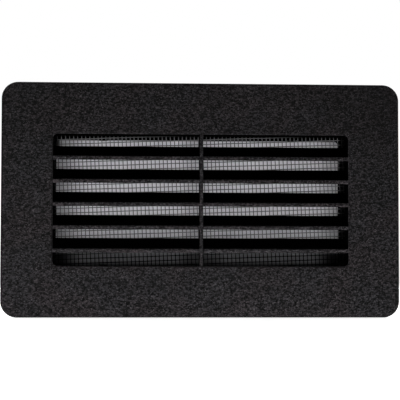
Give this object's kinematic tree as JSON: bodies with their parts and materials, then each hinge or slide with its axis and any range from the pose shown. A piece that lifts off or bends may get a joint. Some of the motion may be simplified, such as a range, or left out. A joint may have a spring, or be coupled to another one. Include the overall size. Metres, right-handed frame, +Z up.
{
  "type": "louvred air grille",
  "caption": "Rectangular louvred vent grille with an insect screen and rear spigot, held by leaf springs in a folded sheet-steel wall frame.",
  "frame": {"origin": "centre of the wall opening, in the plane of the wall's face", "axes": "+X to the right as seen from the room, +Y into the wall, +Z up"},
  "size_m": [0.17, 0.03, 0.1],
  "materials": {
    "black_powder_coat": "fine textured black powder coat",
    "screen_wire": "plain grey woven steel wire",
    "black_sheet": "satin black",
    "zinc_screw": "bright zinc plate",
    "rivet_aluminium": "bright",
    "gasket_foam": "closed-cell foam",
    "galvanised_sheet": "galvanised, faint spangle",
    "spring_steel": "bright spring strip"
  },
  "bodies": {
    "wall_mounting": {"wall_frame": "galvanised_sheet"},
    "grille": {"front_grille": "black_powder_coat", "insect_screen": "screen_wire", "duct_spigot": "black_sheet", "clamp_screws": "zinc_screw", "spring_rivets": "rivet_aluminium", "foam_gasket": "gasket_foam", "leaf_spring_upper_left": "spring_steel", "leaf_spring_upper_right": "spring_steel", "leaf_spring_lower_left": "spring_steel", "leaf_spring_lower_right": "spring_steel"}
  },
  "joints": [
    {"name": "front_pull_off", "type": "slide", "parent": "wall_mounting", "child": "grille", "axis": [0, -1, 0], "range_m": [0, 0.03]}
  ]
}
